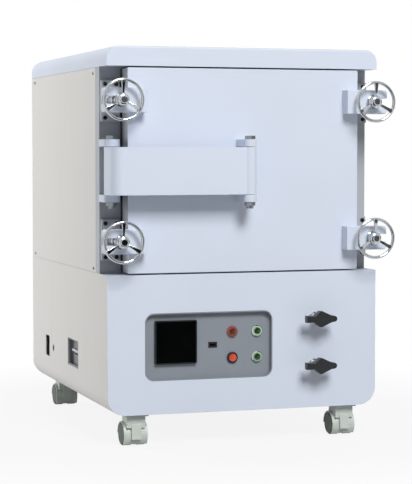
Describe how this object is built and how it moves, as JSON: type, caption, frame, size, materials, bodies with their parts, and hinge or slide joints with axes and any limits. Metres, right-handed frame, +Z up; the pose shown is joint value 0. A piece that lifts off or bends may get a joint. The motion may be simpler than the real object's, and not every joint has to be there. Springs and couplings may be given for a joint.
{
  "type": "vacuum muffle furnace",
  "caption": "Floor-standing vacuum muffle furnace on casters: swing-arm front door with corner handwheel clamps over a storey with control tray, push buttons and gas valves.",
  "frame": {"origin": "centre of the bounding box, at the floor under the casters", "axes": "+Z up, +X to the right as seen from the front, the door faces -Y"},
  "size_m": [0.677, 0.853, 0.876],
  "materials": {
    "light_paint": "powder coat, cool off-white, satin",
    "warm_paint": "powder coat, warm off-white, satin",
    "grey_paint": "powder coat, mid grey, fine texture",
    "flange_paint": "painted steel, light grey",
    "steel": "machined and brushed steel",
    "black_steel": "varnished black core steel",
    "chrome": "polished chrome plate",
    "screen_black": "glossy black window in a black bezel",
    "black_plastic": "moulded black plastic, satin",
    "button_red": "red lens, satin",
    "button_orange": "orange-red lens, satin",
    "button_green": "green lens, satin",
    "ceramic_fibre": "pressed ceramic fibre board, matt white",
    "hearth_ceramic": "fired ceramic slab, matt",
    "element_wire": "oxidised resistance wire",
    "seal_rubber": "black silicone, matt",
    "caster_plastic": "light grey moulded nylon",
    "caster_tread": "dark grey moulded tread"
  },
  "bodies": {
    "cabinet": {"base_cabinet": "warm_paint", "deck_plate": "light_paint", "front_panel": "light_paint", "control_panel": "grey_paint", "controller": "screen_black", "usb_socket": "black_plastic", "gas_valves": "steel", "circuit_breaker": "grey_paint", "transformer": "black_steel", "chassis_frame": "grey_paint", "side_cover_left": "warm_paint", "side_cover_right": "warm_paint", "rear_cover": "warm_paint", "top_cover": "light_paint", "front_flange": "flange_paint", "vacuum_chamber": "steel", "mouth_lining": "ceramic_fibre", "chamber_insulation": "ceramic_fibre", "heating_elements": "element_wire", "thermocouple": "steel", "vacuum_port": "steel", "hearth_plate": "hearth_ceramic", "door_seal": "seal_rubber", "clamp_keeper_upper_left": "light_paint", "clamp_keeper_upper_right": "light_paint", "clamp_keeper_lower_left": "light_paint", "clamp_keeper_lower_right": "light_paint", "hinge_bracket_lower": "light_paint", "hinge_bracket_upper": "light_paint", "arm_hinge_bolt": "steel"},
    "arm": {"swing_arm": "light_paint"},
    "door": {"door_shell": "light_paint", "door_plate": "steel", "door_plug": "ceramic_fibre", "door_lug_upper_left": "light_paint", "door_lug_upper_right": "light_paint", "door_lug_lower_left": "light_paint", "door_lug_lower_right": "light_paint", "door_ear_lower": "light_paint", "door_ear_upper": "light_paint", "door_hinge_bolt": "steel"},
    "clamp_upper_left": {"handwheel_upper_left": "chrome"},
    "clamp_upper_right": {"handwheel_upper_right": "chrome"},
    "clamp_lower_left": {"handwheel_lower_left": "chrome"},
    "clamp_lower_right": {"handwheel_lower_right": "chrome"},
    "stop_cap": {"stop_button": "button_red"},
    "heat_cap": {"heat_button": "button_orange"},
    "power_cap": {"power_button": "button_green"},
    "vacuum_cap": {"vacuum_button": "button_green"},
    "upper_valve": {"upper_valve_handle": "black_plastic"},
    "lower_valve": {"lower_valve_handle": "black_plastic"},
    "breaker": {"breaker_lever": "black_plastic"},
    "swivel_front_left": {"caster_fork_front_left": "caster_plastic"},
    "swivel_front_right": {"caster_fork_front_right": "caster_plastic"},
    "swivel_rear_left": {"caster_fork_rear_left": "caster_plastic"},
    "swivel_rear_right": {"caster_fork_rear_right": "caster_plastic"},
    "wheels_front_left": {"caster_wheels_front_left": "caster_tread"},
    "wheels_front_right": {"caster_wheels_front_right": "caster_tread"},
    "wheels_rear_left": {"caster_wheels_rear_left": "caster_tread"},
    "wheels_rear_right": {"caster_wheels_rear_right": "caster_tread"}
  },
  "joints": [
    {"name": "arm_swing", "type": "hinge", "parent": "cabinet", "child": "arm", "pos_m": [-0.298, -0.3345, 0.606], "axis": [0, 0, -1], "range_deg": [0, 110]},
    {"name": "door_pivot", "type": "hinge", "parent": "arm", "child": "door", "pos_m": [-0.006, -0.412, 0.606], "axis": [0, 0, -1], "range_deg": [-4.4, 0]},
    {"name": "clamp_turn_upper_left", "type": "hinge", "parent": "door", "child": "clamp_upper_left", "pos_m": [-0.292, -0.3615, 0.7585], "axis": [0, 1, 0], "continuous": true},
    {"name": "clamp_turn_upper_right", "type": "hinge", "parent": "door", "child": "clamp_upper_right", "pos_m": [0.292, -0.3615, 0.7585], "axis": [0, 1, 0], "continuous": true},
    {"name": "clamp_turn_lower_left", "type": "hinge", "parent": "door", "child": "clamp_lower_left", "pos_m": [-0.292, -0.3615, 0.4535], "axis": [0, 1, 0], "continuous": true},
    {"name": "clamp_turn_lower_right", "type": "hinge", "parent": "door", "child": "clamp_lower_right", "pos_m": [0.292, -0.3615, 0.4535], "axis": [0, 1, 0], "continuous": true},
    {"name": "stop_press", "type": "slide", "parent": "cabinet", "child": "stop_cap", "axis": [0, 1, 0], "range_m": [0, 0.0025], "stiffness_N_per_m": 600, "springref_m": -0.002},
    {"name": "heat_press", "type": "slide", "parent": "cabinet", "child": "heat_cap", "axis": [0, 1, 0], "range_m": [0, 0.0025], "stiffness_N_per_m": 600, "springref_m": -0.002},
    {"name": "power_press", "type": "slide", "parent": "cabinet", "child": "power_cap", "axis": [0, 1, 0], "range_m": [0, 0.0025], "stiffness_N_per_m": 600, "springref_m": -0.002},
    {"name": "vacuum_press", "type": "slide", "parent": "cabinet", "child": "vacuum_cap", "axis": [0, 1, 0], "range_m": [0, 0.0025], "stiffness_N_per_m": 600, "springref_m": -0.002},
    {"name": "upper_valve_turn", "type": "hinge", "parent": "cabinet", "child": "upper_valve", "pos_m": [0.165, -0.3865, 0.275], "axis": [0, 1, 0], "range_deg": [0, 90]},
    {"name": "lower_valve_turn", "type": "hinge", "parent": "cabinet", "child": "lower_valve", "pos_m": [0.165, -0.3865, 0.17], "axis": [0, 1, 0], "range_deg": [0, 90]},
    {"name": "breaker_throw", "type": "hinge", "parent": "cabinet", "child": "breaker", "pos_m": [-0.298, -0.043, 0.1765], "axis": [0, 1, 0], "range_deg": [-50, 0]},
    {"name": "swivel_turn_front_left", "type": "hinge", "parent": "cabinet", "child": "swivel_front_left", "pos_m": [-0.246, -0.3255, 0.06], "axis": [0, 0, 1], "continuous": true},
    {"name": "swivel_turn_front_right", "type": "hinge", "parent": "cabinet", "child": "swivel_front_right", "pos_m": [0.246, -0.3255, 0.06], "axis": [0, 0, 1], "continuous": true},
    {"name": "swivel_turn_rear_left", "type": "hinge", "parent": "cabinet", "child": "swivel_rear_left", "pos_m": [-0.246, 0.3225, 0.06], "axis": [0, 0, 1], "continuous": true},
    {"name": "swivel_turn_rear_right", "type": "hinge", "parent": "cabinet", "child": "swivel_rear_right", "pos_m": [0.246, 0.3225, 0.06], "axis": [0, 0, 1], "continuous": true},
    {"name": "wheel_roll_front_left", "type": "hinge", "parent": "swivel_front_left", "child": "wheels_front_left", "pos_m": [-0.246, -0.3135, 0.025], "axis": [1, 0, 0], "continuous": true},
    {"name": "wheel_roll_front_right", "type": "hinge", "parent": "swivel_front_right", "child": "wheels_front_right", "pos_m": [0.246, -0.3135, 0.025], "axis": [1, 0, 0], "continuous": true},
    {"name": "wheel_roll_rear_left", "type": "hinge", "parent": "swivel_rear_left", "child": "wheels_rear_left", "pos_m": [-0.246, 0.3345, 0.025], "axis": [1, 0, 0], "continuous": true},
    {"name": "wheel_roll_rear_right", "type": "hinge", "parent": "swivel_rear_right", "child": "wheels_rear_right", "pos_m": [0.246, 0.3345, 0.025], "axis": [1, 0, 0], "continuous": true}
  ],
  "couplings": [
    {"joint": "door_pivot", "follows": "arm_swing", "ratio": -0.04}
  ]
}
